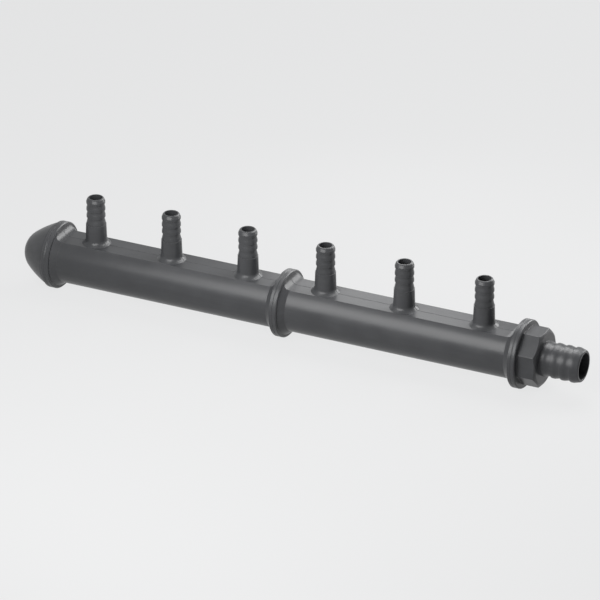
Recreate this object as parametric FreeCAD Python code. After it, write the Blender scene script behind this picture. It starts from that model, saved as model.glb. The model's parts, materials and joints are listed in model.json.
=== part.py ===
import FreeCAD, Part
import math
import os

# Six-outlet water manifold in dark polymer: two alike header mouldings, a domed end cap and an
# inlet adapter, welded flange to flange on one straight run.
# Millimetres. X along the run and out of the inlet, Z up along the outlets. The origin lies on
# the run's axis in the face where the supply tube stops.

V = FreeCAD.Vector
ORIGIN = V(0, 0, 0)
X_AXIS = V(1, 0, 0)
Z_AXIS = V(0, 0, 1)

# Run
PITCH = 55.0  # outlet to outlet, also across the weld between the headers
OUTLETS = 3  # outlets of one header
HEADER_LEN = OUTLETS * PITCH
TUBE_R = 17.4
BORE_R = 12.5
LAND_W = 19.6  # flat along the crown of the tube
LAND_Z = math.sqrt(TUBE_R**2 - (LAND_W / 2) ** 2)
LAND_SWEEP = 5.5  # hollow round from the land up to each flange

# Weld flange, on every end that is welded
FLANGE_R = 22.2
FLANGE_T = 2.75
FLANGE_EDGE = 0.6  # chamfer of the rear edge
WELD_EDGE = 0.35  # chamfer that meets its twin at the weld
ROOT_RISE = 3.0  # taper from the rear face down to the tube
ROOT_LEN = 4.0

# Outlet, heights above the run's axis
ROOT_Z = 9.4  # inside the wall of the tube
NECK_R = 7.0  # at its foot, tapering up to the stop
SWEEP_R = 3.0  # hollow sweep from the neck out to the land
SWEEP_TOP = 17.8
SWEEP_TURN = math.radians(50)
SKIRT_R = 11.0  # where the sweep has run under the land
STOP_Z = 28.2
STOP_R = 6.65
OUTLET_BORE_R = 4.25
OUTLET_BARB = {
    "length": 18.4,
    "crest": 6.2,
    "root": 5.65,
    "nose": 5.45,
    "ribs": (5.2, 10.0, 14.8),  # steep face of each rib, from the stop
    "seat": 1.4,
    "land": 1.4,
    "ramp": 2.3,
}

# Inlet adapter
HUB_END = 14.9  # from the weld face to the stop
HUB_FLATS = 35.5
HUB_SIDES = 8
HUB_CHAMFER = 1.4
INLET_BORE_R = 8.5
INLET_BARB = {
    "length": 25.8,
    "crest": 11.35,
    "root": 10.6,
    "nose": 10.3,
    "ribs": (6.9, 13.3, 19.7),
    "seat": 1.8,
    "land": 1.8,
    "ramp": 3.0,
}
TIP_EDGE = 0.5  # chamfer round the mouth of every barb

# End cap
DOME_R = 21.0
DOME_SKIRT = 1.0  # straight wall between the flange and the flank
DOME_FLANK_R = 70.0  # slight bow of the flank between the skirt and the round tip
DOME_TIP_R = 15.6
DOME_JOIN = 38.0  # degrees of slope where the flank runs into the tip
DOME_WALL = 4.0

WELD_INLET_X = -HUB_END
WELD_MIDDLE_X = WELD_INLET_X - HEADER_LEN
WELD_CAP_X = WELD_MIDDLE_X - HEADER_LEN


def on_arc(centre, radius, degrees):
    """Point of an arc in an outline, the angle counted from the axis direction."""
    angle = math.radians(degrees)
    return (centre[0] + radius * math.cos(angle), centre[1] + radius * math.sin(angle))


def outline(steps, origin, along, across):
    """Flat face from an outline of (distance along, distance across) points.

    A step is a point, or a pair of points (middle, end) for an arc.
    """
    edges = []
    here = None
    for step in steps + [steps[0]]:
        bend, end = step if isinstance(step[0], tuple) else (None, step)
        points = [origin + along * p[0] + across * p[1] for p in (here, bend, end) if p]
        if len(points) == 3:
            edges.append(Part.Arc(*points).toShape())
        elif len(points) == 2:
            edges.append(Part.makeLine(*points))
        here = end
    return Part.Face(Part.Wire(edges))


def turned(steps, along, base):
    """Solid of revolution from an outline of (distance along the axis, radius) points."""
    across = Z_AXIS if along.x else X_AXIS
    return outline(steps, base, along, across).revolve(base, along, 360)


def flange(weld, side, foot=None):
    """Weld flange, its weld face at x = weld and its body on the given side.

    With a foot radius, a taper leads from the rear face down to that radius.
    """
    rear = weld + side * FLANGE_T
    steps = [
        (weld, 0.0),
        (weld, FLANGE_R - WELD_EDGE),
        (weld + side * WELD_EDGE, FLANGE_R),
        (rear - side * FLANGE_EDGE, FLANGE_R),
        (rear, FLANGE_R - FLANGE_EDGE),
    ]
    if foot:
        steps.append((rear, foot + ROOT_RISE))
        steps.append((rear + side * ROOT_LEN, foot))
        steps.append((rear + side * ROOT_LEN, 0.0))
    else:
        steps.append((rear, 0.0))
    return turned(steps, X_AXIS, ORIGIN)


def crown(left, right):
    """All that lies above the land between two flanges, to be cut away."""
    sweep_z = LAND_Z + LAND_SWEEP
    first = (left + LAND_SWEEP, sweep_z)
    last = (right - LAND_SWEEP, sweep_z)
    steps = [
        (left, sweep_z),
        (on_arc(first, LAND_SWEEP, 225), on_arc(first, LAND_SWEEP, 270)),
        on_arc(last, LAND_SWEEP, 270),
        (on_arc(last, LAND_SWEEP, 315), on_arc(last, LAND_SWEEP, 360)),
        (right, LAND_Z + TUBE_R),
        (left, LAND_Z + TUBE_R),
    ]
    return outline(steps, V(0, -TUBE_R, 0), X_AXIS, Z_AXIS).extrude(V(0, 2 * TUBE_R, 0))


def barb(stop, form):
    """Outline of a ribbed barb from its stop to its mouth: steep behind each rib, sloped ahead."""
    crest = form["crest"]
    root = form["root"]
    points = [(stop, crest), (stop + form["seat"], crest), (stop + form["seat"] + form["ramp"], root)]
    for rib in form["ribs"]:
        points.append((stop + rib, root))
        points.append((stop + rib, crest))
        points.append((stop + rib + form["land"], crest))
        points.append((stop + rib + form["land"] + form["ramp"], root))
    mouth = stop + form["length"]
    points[-1] = (mouth - TIP_EDGE, form["nose"])
    return points + [(mouth, form["nose"] - TIP_EDGE), (mouth, 0.0)]


def outlet(x):
    """Neck and barb of one outlet, rooted in the wall of the tube."""
    centre_r = NECK_R + SWEEP_R
    sweep = []
    for turn in (SWEEP_TURN, SWEEP_TURN / 2, 0.0):
        sweep.append((SWEEP_TOP - SWEEP_R * math.sin(turn), centre_r - SWEEP_R * math.cos(turn)))
    skirt_z = sweep[0][0] - (SKIRT_R - sweep[0][1]) / math.tan(SWEEP_TURN)
    steps = [
        (ROOT_Z, 0.0),
        (ROOT_Z, SKIRT_R),
        (skirt_z, SKIRT_R),
        sweep[0],
        (sweep[1], sweep[2]),
        (STOP_Z, STOP_R),
    ]
    return turned(steps + barb(STOP_Z, OUTLET_BARB), Z_AXIS, V(x, 0, 0))


def header(right):
    """One header moulding, its right weld face at x = right."""
    left = right - HEADER_LEN
    centres = [left + PITCH * (i + 0.5) for i in range(OUTLETS)]
    tube = Part.makeCylinder(TUBE_R, HEADER_LEN, V(left, 0, 0), X_AXIS)
    body = tube.fuse([flange(left, 1, TUBE_R), flange(right, -1, TUBE_R)])
    body = body.cut(crown(left + FLANGE_T, right - FLANGE_T))
    body = body.fuse([outlet(x) for x in centres])
    mouth_z = STOP_Z + OUTLET_BARB["length"]
    ways = [Part.makeCylinder(BORE_R, HEADER_LEN, V(left, 0, 0), X_AXIS)]
    ways += [Part.makeCylinder(OUTLET_BORE_R, mouth_z, V(x, 0, 0), Z_AXIS) for x in centres]
    return body.cut(ways).removeSplitter()


def inlet_adapter():
    """Weld flange, eight-sided hub and the supply barb."""
    weld = WELD_INLET_X
    rear = weld + FLANGE_T
    stop = weld + HUB_END
    corner_r = HUB_FLATS / 2 / math.cos(math.pi / HUB_SIDES)
    corners = []
    for i in range(HUB_SIDES + 1):
        turn = 2 * math.pi * (i + 0.5) / HUB_SIDES
        corners.append(V(rear, corner_r * math.cos(turn), corner_r * math.sin(turn)))
    hub = Part.Face(Part.makePolygon(corners)).extrude(V(stop - rear, 0, 0))
    nut_round = [
        (rear, 0.0),
        (rear, corner_r),
        (stop - HUB_CHAMFER, corner_r),
        (stop, corner_r - 2 * HUB_CHAMFER),
        (stop, 0.0),
    ]
    hub = hub.common(turned(nut_round, X_AXIS, ORIGIN))
    spigot = turned([(rear, 0.0), (rear, INLET_BARB["crest"])] + barb(stop, INLET_BARB)[1:], X_AXIS, ORIGIN)
    body = flange(weld, 1).fuse([hub, spigot])
    through = Part.makeCylinder(INLET_BORE_R, HUB_END + INLET_BARB["length"], V(weld, 0, 0), X_AXIS)
    lead = Part.makeCone(BORE_R, INLET_BORE_R, BORE_R - INLET_BORE_R, V(weld, 0, 0), X_AXIS)
    return body.cut([through, lead]).removeSplitter()


def dome(inset):
    """Closed end as a solid from the weld face outwards: skirt, bowed flank and round tip.

    Its whole surface lies the given distance inside the outer one.
    """
    shoulder = WELD_CAP_X - FLANGE_T - DOME_SKIRT
    apart = DOME_FLANK_R - DOME_TIP_R
    drop = apart * math.cos(math.radians(DOME_JOIN))
    flank_start = math.acos((DOME_R + drop) / DOME_FLANK_R)
    flank = (shoulder + DOME_FLANK_R * math.sin(flank_start), -drop)
    tip = (flank[0] - apart * math.sin(math.radians(DOME_JOIN)), 0.0)
    flank_r = DOME_FLANK_R - inset
    tip_r = DOME_TIP_R - inset
    start = 90 + math.degrees(math.acos((DOME_R - inset + drop) / flank_r))
    join = 90 + DOME_JOIN
    steps = [
        (WELD_CAP_X, 0.0),
        (WELD_CAP_X, DOME_R - inset),
        on_arc(flank, flank_r, start),
        (on_arc(flank, flank_r, (start + join) / 2), on_arc(flank, flank_r, join)),
        (on_arc(tip, tip_r, (join + 180) / 2), on_arc(tip, tip_r, 180)),
    ]
    return turned(steps, X_AXIS, ORIGIN)


def end_cap():
    """Weld flange and a hollow dome."""
    shell = flange(WELD_CAP_X, -1).fuse(dome(0.0))
    return shell.cut(dome(DOME_WALL)).removeSplitter()


os.makedirs("parts", exist_ok=True)
pieces = {
    "inlet_adapter": inlet_adapter(),
    "near_header": header(WELD_INLET_X),
    "far_header": header(WELD_MIDDLE_X),
    "end_cap": end_cap(),
}
for name, piece in pieces.items():
    solid = piece.Solids[0]
    print(name, len(piece.Solids), "solid", solid.isValid(), "volume cm3", round(solid.Volume / 1000, 2))
    solid.exportStep("parts/%s.step" % name)
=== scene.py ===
# %% [markdown]
# Six-outlet water manifold in dark moulded polymer
#
# The object is four mouldings welded end to end: a domed cap, two headers with three outlets each,
# and an adapter with the supply barb. The solids come in at their true size and place, so the lesson
# is about what makes them look moulded and welded: rounded edges, weld beads, mould lines and a skin.

# %% Load the solids
import json
import math

import bmesh
import bpy
from mathutils import Matrix, Vector, noise


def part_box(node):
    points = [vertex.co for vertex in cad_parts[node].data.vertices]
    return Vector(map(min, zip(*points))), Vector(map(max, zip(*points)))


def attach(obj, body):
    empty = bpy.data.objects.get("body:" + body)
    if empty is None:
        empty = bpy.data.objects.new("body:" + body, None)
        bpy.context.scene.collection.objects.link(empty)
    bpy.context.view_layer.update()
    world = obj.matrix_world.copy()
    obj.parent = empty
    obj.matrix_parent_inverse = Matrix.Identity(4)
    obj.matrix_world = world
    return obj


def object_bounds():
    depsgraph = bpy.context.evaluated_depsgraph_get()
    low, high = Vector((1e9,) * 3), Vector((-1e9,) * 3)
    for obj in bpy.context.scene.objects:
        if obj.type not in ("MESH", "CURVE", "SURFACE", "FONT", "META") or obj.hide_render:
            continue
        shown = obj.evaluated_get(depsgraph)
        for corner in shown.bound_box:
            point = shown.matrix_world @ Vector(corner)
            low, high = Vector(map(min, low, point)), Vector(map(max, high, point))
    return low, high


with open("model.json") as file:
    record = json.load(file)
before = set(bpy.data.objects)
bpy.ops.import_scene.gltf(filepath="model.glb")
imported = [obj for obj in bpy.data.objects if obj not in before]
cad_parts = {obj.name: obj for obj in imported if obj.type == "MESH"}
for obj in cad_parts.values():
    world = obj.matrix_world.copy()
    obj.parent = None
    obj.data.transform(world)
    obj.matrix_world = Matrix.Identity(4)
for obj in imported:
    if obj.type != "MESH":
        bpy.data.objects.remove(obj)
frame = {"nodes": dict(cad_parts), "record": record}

cad_box = [list(corner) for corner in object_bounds()]
print("solids:", sorted(frame["nodes"]))

# %% [markdown]
# The welds are where the real object was put together, and the beads that are added later lie round
# them. Their places could be typed in again, but the frame already knows where the solids end, and a
# measure that is read can't drift away from the part.

# %% Measure the manifold
MM = 0.001

weld_x = {
    "inlet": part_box("inlet_adapter")[0].x,
    "middle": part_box("near_header")[0].x,
    "cap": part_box("far_header")[0].x,
}
rim_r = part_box("near_header")[1].y
print("welds at", {name: round(x / MM, 1) for name, x in weld_x.items()}, "rim", round(rim_r / MM, 2))

# %% [markdown]
# A mould has no sharp edges. The solids' edges are sharp lines, and a sharp line gives no glint, so
# each node gets three modifiers: one that joins the faces along their shared edges, a bevel that
# rounds every edge that turns by more than a few degrees, and one that lets large faces decide how
# the small ones beside them are shaded, so that a flat stays flat up to its rounded edge. Shading by
# the bevel alone would leave streaks there. Modifiers leave the solid itself alone.

# %% Round the moulded edges
EDGE_ROUND = 0.22 * MM
EDGE_SEGMENTS = 2
JOIN_WITHIN = 0.002 * MM
SHARP_FROM = math.radians(20)

for node in frame["nodes"].values():
    join = node.modifiers.new("joined_faces", "WELD")
    join.merge_threshold = JOIN_WITHIN
    edge = node.modifiers.new("moulded_edges", "BEVEL")
    edge.width = EDGE_ROUND
    edge.segments = EDGE_SEGMENTS
    edge.limit_method = "ANGLE"
    edge.angle_limit = SHARP_FROM
    even = node.modifiers.new("even_shading", "WEIGHTED_NORMAL")
    even.mode = "FACE_AREA_WITH_ANGLE"
print("edges rounded by", EDGE_ROUND / MM, "mm")

# %% [markdown]
# The skin is a satin dark grey polymer, and under the hand it is not one flat tone: uneven pigment
# makes a wide mottle, melt that flowed along the run leaves long streaks, and fine specks sit in the
# surface. A picture could be wrapped round the solids, but it would stretch and show its seams. Noise
# in the object's own space, scaled in millimetres, holds at any distance.

# %% Noise in millimetres
MOTTLE_PER_MM = 0.05
STREAK_PER_MM = 0.35
STREAK_STRETCH = (0.06, 1.0, 1.0)
SPECK_PER_MM = 2.5
SPECK_DETAIL = 1.0
NOISE_DETAIL = 3.0
EVEN = (1.0, 1.0, 1.0)

skin = bpy.data.materials.new("dark_polymer")
skin.use_nodes = True
skin_nodes, skin_links = skin.node_tree.nodes, skin.node_tree.links
on_part = skin_nodes.new("ShaderNodeTexCoord")


def tone_noise(per_mm, stretch=EVEN, detail=NOISE_DETAIL):
    """Noise with the given number of cells in a millimetre, longer along an axis with a low stretch."""
    scale = skin_nodes.new("ShaderNodeMapping")
    scale.inputs["Scale"].default_value = [per_mm / MM * factor for factor in stretch]
    skin_links.new(on_part.outputs["Object"], scale.inputs["Vector"])
    tone = skin_nodes.new("ShaderNodeTexNoise")
    tone.inputs["Scale"].default_value = 1.0
    tone.inputs["Detail"].default_value = detail
    skin_links.new(scale.outputs["Vector"], tone.inputs["Vector"])
    return tone.outputs["Fac"]


mottle = tone_noise(MOTTLE_PER_MM)
streak = tone_noise(STREAK_PER_MM, stretch=STREAK_STRETCH)
speck = tone_noise(SPECK_PER_MM, detail=SPECK_DETAIL)
cells = [round(1 / per_mm, 1) for per_mm in (MOTTLE_PER_MM, STREAK_PER_MM, SPECK_PER_MM)]
print("noise cells of", cells, "mm")

# %% [markdown]
# The three noises mix a darker and a lighter grey, one layer over the other, as a painter glazes. Noise
# rarely comes near 0 or 1, so a helper first stretches the middle of its range. The finer a layer is,
# the lower is its share, so that the mottle is seen first and the specks only close up.

# %% Mix the tone
SKIN_DARK = (0.031, 0.032, 0.034, 1.0)
SKIN_LIGHT = (0.048, 0.049, 0.052, 1.0)
MOTTLE_SHARE = (0.15, 0.85)
STREAK_SHARE = (0.0, 0.55)
SPECK_SHARE = (0.0, 0.22)
NOISE_LOW = 0.3
NOISE_HIGH = 0.7


def spread(value, low, high):
    """Stretch the middle of a noise to run from low to high."""
    span = skin_nodes.new("ShaderNodeMapRange")
    span.inputs["From Min"].default_value = NOISE_LOW
    span.inputs["From Max"].default_value = NOISE_HIGH
    span.inputs["To Min"].default_value = low
    span.inputs["To Max"].default_value = high
    skin_links.new(value, span.inputs["Value"])
    return span.outputs["Result"]


def blend(share, first, second):
    """Mix two colours; each is a colour or the output of a node."""
    mix = skin_nodes.new("ShaderNodeMix")
    mix.data_type = "RGBA"
    skin_links.new(share, mix.inputs["Factor"])
    for name, colour in (("A", first), ("B", second)):
        socket = next(s for s in mix.inputs if s.name == name and s.type == "RGBA")
        if isinstance(colour, tuple):
            socket.default_value = colour
        else:
            skin_links.new(colour, socket)
    return next(s for s in mix.outputs if s.type == "RGBA")


skin_tone = blend(spread(mottle, *MOTTLE_SHARE), SKIN_DARK, SKIN_LIGHT)
skin_tone = blend(spread(streak, *STREAK_SHARE), skin_tone, SKIN_DARK)
skin_tone = blend(spread(speck, *SPECK_SHARE), skin_tone, SKIN_LIGHT)
print("nodes for the tone:", len(skin_nodes))

# %% [markdown]
# Handling rubs the outer edges of such a fitting a little paler. The edges could be painted by hand,
# but the bevel node finds them: it says how the surface would lean if its edges were rounder, and where
# that differs from how it leans now, there is an edge to rub. So the wear follows the part by itself.

# %% Rubbed edges
RUBBED = (0.088, 0.089, 0.092, 1.0)
RUB_RADIUS = 0.5 * MM
RUB_SAMPLES = 6
RUB_STARTS = 0.99  # cosine of the lean
RUB_FULL = 0.88
RUB_MOST = 0.5

surface = skin_nodes["Principled BSDF"]
rounded = skin_nodes.new("ShaderNodeBevel")
rounded.inputs["Radius"].default_value = RUB_RADIUS
rounded.samples = RUB_SAMPLES
as_is = skin_nodes.new("ShaderNodeNewGeometry")
lean = skin_nodes.new("ShaderNodeVectorMath")
lean.operation = "DOT_PRODUCT"
skin_links.new(rounded.outputs["Normal"], lean.inputs[0])
skin_links.new(as_is.outputs["Normal"], lean.inputs[1])
rub = skin_nodes.new("ShaderNodeMapRange")
rub.inputs["From Min"].default_value = RUB_STARTS
rub.inputs["From Max"].default_value = RUB_FULL
rub.inputs["To Max"].default_value = RUB_MOST
skin_links.new(lean.outputs["Value"], rub.inputs["Value"])
skin_links.new(blend(rub.outputs["Result"], skin_tone, RUBBED), surface.inputs["Base Color"])
print("edges rubbed within", RUB_RADIUS / MM, "mm")

# %% [markdown]
# The wall of the mould leaves a fine grain in the skin. It is far too fine to be worth faces, so it is
# a bump. The grain also dulls what the surface mirrors, so the sheen is set below that of a polished
# polymer, and the roughness drifts with the mottle, as it does where the melt cooled unevenly.

# %% Gloss and grain
ROUGHNESS = (0.285, 0.365)
SHEEN = 0.3
GRAIN_PER_MM = 3.0
GRAIN_DETAIL = 2.0
GRAIN_STRENGTH = 0.4
GRAIN_DEPTH = 0.02 * MM

skin_links.new(spread(mottle, *ROUGHNESS), surface.inputs["Roughness"])
surface.inputs["Specular IOR Level"].default_value = SHEEN
grain = tone_noise(GRAIN_PER_MM, detail=GRAIN_DETAIL)
skin_bump = skin_nodes.new("ShaderNodeBump")
skin_bump.inputs["Strength"].default_value = GRAIN_STRENGTH
skin_bump.inputs["Distance"].default_value = GRAIN_DEPTH
skin_links.new(grain, skin_bump.inputs["Height"])
skin_links.new(skin_bump.outputs["Normal"], surface.inputs["Normal"])
for node in frame["nodes"].values():
    node.data.materials.clear()
    node.data.materials.append(skin)
print("skin nodes:", len(skin_nodes))

# %% [markdown]
# Where two hot flanges are pressed together, a little melt rolls out and sets as a bead in the groove
# between their chamfered rims. A torus would be too perfect: the roll swells and thins along its way.
# So the ring is built section by section, with a smooth noise on its thickness. It stays just inside
# the rim, as on a joint that was made to a stop.

# %% Weld beads
BEAD_R = 0.42 * MM
BEAD_SWELL = 0.25
BEAD_WAVES = 6.0
BEAD_STEPS = 240
BEAD_SIDES = 10


def finished(piece):
    """Give a new piece the polymer's skin and let it move with the manifold."""
    bpy.context.scene.collection.objects.link(piece)
    piece.data.materials.append(skin)
    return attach(piece, "root")


def weld_bead(name, x):
    """A closed uneven roll round the rim, in the plane of a weld."""
    mesh = bpy.data.meshes.new(name)
    build = bmesh.new()
    rings = []
    for step in range(BEAD_STEPS):
        turn = 2 * math.pi * step / BEAD_STEPS
        out = Vector((0, math.cos(turn), math.sin(turn)))
        swell = noise.noise(Vector((x / MM, 0, 0)) + out * BEAD_WAVES)
        thick = BEAD_R * (1 + BEAD_SWELL * swell)
        ring = []
        for side in range(BEAD_SIDES):
            angle = 2 * math.pi * side / BEAD_SIDES
            reach = rim_r - BEAD_R * (1 + BEAD_SWELL) + thick * math.cos(angle)
            ring.append(build.verts.new(out * reach + Vector((x + thick * math.sin(angle), 0, 0))))
        rings.append(ring)
    for step, ring in enumerate(rings):
        beyond = rings[(step + 1) % BEAD_STEPS]
        for side in range(BEAD_SIDES):
            far = (side + 1) % BEAD_SIDES
            build.faces.new((ring[side], beyond[side], beyond[far], ring[far]))
    bmesh.ops.recalc_face_normals(build, faces=build.faces)
    build.to_mesh(mesh)
    build.free()
    for face in mesh.polygons:
        face.use_smooth = True
    return finished(bpy.data.objects.new(name, mesh))


for weld, x in weld_x.items():
    bead = weld_bead("weld_bead_" + weld, x)
    print(bead.name, len(bead.data.polygons), "faces")

# %% [markdown]
# The header's mould opens across the run, so its two halves meet in the upright plane through the
# outlets, and a thin ridge of flash is left there. The ridge follows whatever the skin does: along the
# land, up the side of each neck and along the underside. Its points are found by feeling for the solid
# with rays in that plane, from above or below for the run and from the side for the necks. On the
# barbs the flash is trimmed away, because the tube has to seal there.

# %% Feel for the parting plane
FEEL_STEP = 0.4 * MM
FEEL_FROM = 0.2
NECK_REACH = 20 * MM
NECK_HEIGHT = 11.0 * MM


def felt(node, rays):
    """The points of the skin that the rays meet first, in order."""
    points = []
    for start, way in rays:
        hit, point, _, _ = node.ray_cast(Vector(start), Vector(way))
        if hit:
            points.append(point)
    return points


def spaced(first, last):
    """Even steps from first to last, both included."""
    count = max(2, round(abs(last - first) / FEEL_STEP))
    return [first + (last - first) * i / count for i in range(count + 1)]


def along_run(node, first, last, side):
    """Points of the skin above (side 1) or below (side -1) the run."""
    return felt(node, [((x, 0, side * FEEL_FROM), (0, 0, -side)) for x in spaced(first, last)])


def up_neck(node, outlet, side):
    """Points of the skin on one side of an outlet's neck, from its foot up to the stop."""
    x, _, stop = outlet["pos_m"]
    heights = spaced(stop - NECK_HEIGHT, stop - FEEL_STEP)
    return felt(node, [((x + side * NECK_REACH, 0, z), (-side, 0, 0)) for z in heights])


print("plane felt every", FEEL_STEP / MM, "mm")

# %% [markdown]
# A poly curve with a small round bevel turns those points into a raised thread. It is made into a mesh
# straight away, so the thread is a plain piece like the rest, half sunk in the wall. The thread breaks
# at each outlet: it climbs one side of the neck, and the next run starts at the top of the other side.

# %% Mould lines
FLASH_R = 0.14 * MM
FLASH_ROUND = 1
FLANGE_CLEAR = 3.2 * MM


def mould_line(name, runs):
    """One piece with a thread along each run of points."""
    curve = bpy.data.curves.new(name, "CURVE")
    curve.dimensions = "3D"
    curve.bevel_depth = FLASH_R
    curve.bevel_resolution = FLASH_ROUND
    curve.use_fill_caps = True
    for points in runs:
        thread = curve.splines.new("POLY")
        thread.points.add(len(points) - 1)
        for knot, point in zip(thread.points, points):
            knot.co = (*point, 1.0)
    shaped = bpy.data.objects.new(name + "_line", curve)
    mesh = bpy.data.meshes.new_from_object(shaped)
    bpy.data.objects.remove(shaped)
    mesh.name = name
    return finished(bpy.data.objects.new(name, mesh))


outlets = [mount for mount in frame["record"]["mounts"] if mount["name"].startswith("outlet")]
outlets.sort(key=lambda mount: mount["pos_m"][0])
for name in ("near_header", "far_header"):
    node = frame["nodes"][name]
    low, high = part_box(name)
    start, end = low.x + FLANGE_CLEAR, high.x - FLANGE_CLEAR
    runs = [along_run(node, start, end, -1)]
    ridge = []
    here = start
    for outlet in outlets:
        if start < outlet["pos_m"][0] < end:
            rising = up_neck(node, outlet, -1)
            runs.append(ridge + along_run(node, here, rising[0].x, 1) + rising)
            ridge = up_neck(node, outlet, 1)[::-1]
            here = ridge[-1].x
    runs.append(ridge + along_run(node, here, end, 1))
    line = mould_line("mould_line_" + name, runs)
    print(line.name, len(runs), "runs", len(line.data.polygons), "faces")

# %% [markdown]
# The scene is a plain studio with a pale backdrop, which is the world itself. A sweep of white paper
# under strong lamps would do, but then the lamps would have to serve the paper and the part at once.
# So what the camera or a reflection looks at is a pale glow, and for all other light the backdrop is
# dim and leaves the shaping to the lamps. Two helpers tell these kinds of light apart.

# %% Backdrop
PALE = (0.815, 0.82, 0.825, 1.0)
AMBIENT = 0.14


def looked_at(nodes, links):
    """1 for rays of the camera, of a reflection or through glass, 0 for other light."""
    ray = nodes.new("ShaderNodeLightPath")
    total = ray.outputs["Is Camera Ray"]
    for name in ("Is Glossy Ray", "Is Transmission Ray"):
        added = nodes.new("ShaderNodeMath")
        added.operation = "ADD"
        links.new(total, added.inputs[0])
        links.new(ray.outputs[name], added.inputs[1])
        total = added.outputs["Value"]
    return total


def between(nodes, links, share, low, high):
    """A number that goes from low to high as the share goes from 0 to 1."""
    span = nodes.new("ShaderNodeMapRange")
    span.inputs["To Min"].default_value = low
    span.inputs["To Max"].default_value = high
    links.new(share, span.inputs["Value"])
    return span.outputs["Result"]


world = bpy.data.worlds.new("studio")
bpy.context.scene.world = world
world.use_nodes = True
sky_nodes, sky_links = world.node_tree.nodes, world.node_tree.links
sky = sky_nodes["Background"]
sky.inputs["Color"].default_value = PALE
sky_level = between(sky_nodes, sky_links, looked_at(sky_nodes, sky_links), AMBIENT, 1.0)
sky_links.new(sky_level, sky.inputs["Strength"])
print("backdrop dimmed to", AMBIENT, "for other light")

# %% [markdown]
# The floor is one large plane at the lowest point of the flanges, where the real fitting would lie. It
# glows like the backdrop for the camera and for reflections, and so it stays pale under soft lamps. For
# all other light it is plain matt grey paint, and a share of that paint shows, so the manifold still
# throws a faint shadow.

# %% Floor
GLOW = (0.835, 0.838, 0.842, 1.0)
GLOW_SHARE = 0.9
PAINT = (0.45, 0.45, 0.45, 1.0)
FLOOR_HALF = 6.0


def pale_floor():
    """Matt grey paint under a glow that is seen by the camera, in reflections and through glass."""
    paint = bpy.data.materials.new("pale_floor")
    paint.use_nodes = True
    nodes, links = paint.node_tree.nodes, paint.node_tree.links
    nodes.clear()
    matt = nodes.new("ShaderNodeBsdfDiffuse")
    matt.inputs["Color"].default_value = PAINT
    glow = nodes.new("ShaderNodeEmission")
    glow.inputs["Color"].default_value = GLOW
    mix = nodes.new("ShaderNodeMixShader")
    links.new(between(nodes, links, looked_at(nodes, links), 0.0, GLOW_SHARE), mix.inputs["Fac"])
    links.new(matt.outputs["BSDF"], mix.inputs[1])
    links.new(glow.outputs["Emission"], mix.inputs[2])
    end = nodes.new("ShaderNodeOutputMaterial")
    links.new(mix.outputs["Shader"], end.inputs["Surface"])
    return paint


bpy.ops.mesh.primitive_plane_add(size=2 * FLOOR_HALF, location=(0, 0, cad_box[0][2]))
floor = bpy.context.object
floor.name = "floor"
floor.data.materials.append(pale_floor())
print("floor at", round(cad_box[0][2] / MM, 2), "mm")

# %% [markdown]
# The camera stands to the right of the inlet end and looks down on the run through a long lens, so
# the six outlets shrink only a little along the row. Its place is written as a turn, a tilt and a
# distance from the weld in the middle, which is easier to read than three coordinates.

# %% Camera
VIEW_TURN = math.radians(25.724)
VIEW_TILT = math.radians(26.31)
VIEW_DISTANCE = 2.8697
AIM_RIGHT = 8.52 * MM
AIM_UP = 1.8 * MM
PICTURE_PX = 600
FOCAL_PX = 4480.0
SENSOR_MM = 36.0
CLIP_NEAR = 0.05
CLIP_FAR = 50.0

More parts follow.
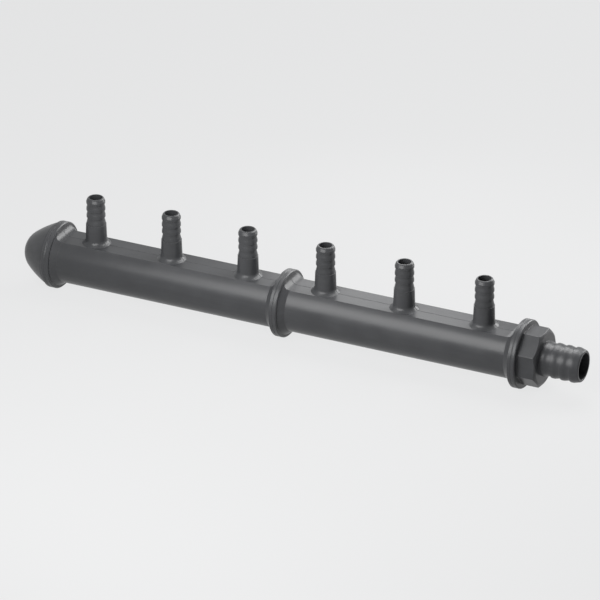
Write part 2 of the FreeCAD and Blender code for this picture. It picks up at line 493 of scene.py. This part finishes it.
toward = Vector(
    (
        math.sin(VIEW_TURN) * math.cos(VIEW_TILT),
        -math.cos(VIEW_TURN) * math.cos(VIEW_TILT),
        math.sin(VIEW_TILT),
    )
)
right = Vector((math.cos(VIEW_TURN), math.sin(VIEW_TURN), 0))
up = toward.cross(right)
middle = Vector((weld_x["middle"], 0, 0))
lens = bpy.data.cameras.new("camera")
lens.sensor_width = SENSOR_MM
lens.lens = SENSOR_MM * FOCAL_PX / PICTURE_PX
lens.clip_start = CLIP_NEAR
lens.clip_end = CLIP_FAR
camera = bpy.data.objects.new("camera", lens)
bpy.context.scene.collection.objects.link(camera)
turned = Matrix((right, up, toward)).transposed().to_4x4()
stand = middle + right * AIM_RIGHT + up * AIM_UP + toward * VIEW_DISTANCE
camera.matrix_world = Matrix.Translation(stand) @ turned
bpy.context.scene.camera = camera
print("lens", round(lens.lens, 1), "mm")

# %% [markdown]
# A satin skin shows its shape by what it mirrors, so each lamp is a soft panel that stands where one
# surface looks at it from the camera: behind for the flat land of the inlet half, across the run for
# the pale band along the tube, overhead for the rims, above for the inlet barb, and far to the side
# for the hollow sweeps between land and flange. The lamp is placed from the surface outwards, along
# the mirrored line of sight.

# %% Lamps
near_half = Vector((-0.108, 0, 0))
inlet_half = Vector((-0.02, 0, 0))
barb_top = Vector((0.012, 0, 0.011))
far_half = Vector((-0.25, 0, 0))
behind = Vector((-toward.x, -toward.y, toward.z))
across = Vector((-0.39, -0.75, 0.535))
overhead = Vector((-0.39, 0.23, 0.86))
above = Vector((-0.15, 0.45, 0.88))
beside = Vector((0.47, 0.81, 0.34))

# name, what it lights, the way it stands from there, how far, its width and height, its watts
PANELS = (
    ("land_panel", near_half, behind, 0.3, (0.15, 0.16), 0.15),
    ("band_panel", inlet_half, across, 0.45, (0.42, 0.28), 2.6),
    ("rim_panel", middle, overhead, 0.5, (0.4, 0.18), 0.6),
    ("barb_panel", barb_top, above, 0.3, (0.16, 0.22), 0.95),
    ("sweep_panel", far_half, beside, 1.5, (0.8, 0.95), 15.5),
)


def softbox(name, aim, way, reach, size, watts):
    """A soft panel that the camera doesn't see, turned to face its aim."""
    lamp = bpy.data.lights.new(name, "AREA")
    lamp.shape = "RECTANGLE"
    lamp.size, lamp.size_y = size
    lamp.energy = watts
    box = bpy.data.objects.new(name, lamp)
    bpy.context.scene.collection.objects.link(box)
    box.location = aim + way * reach
    box.rotation_euler = (aim - box.location).to_track_quat("-Z", "Y").to_euler()
    box.visible_camera = False
    print(name, [round(v, 2) for v in box.location], watts, "W")


for panel in PANELS:
    softbox(*panel)

# %% [markdown]
# The standard view transform shows a colour about as it was written. The added pieces must not make
# the object larger.

bpy.context.scene.view_settings.view_transform = "Standard"
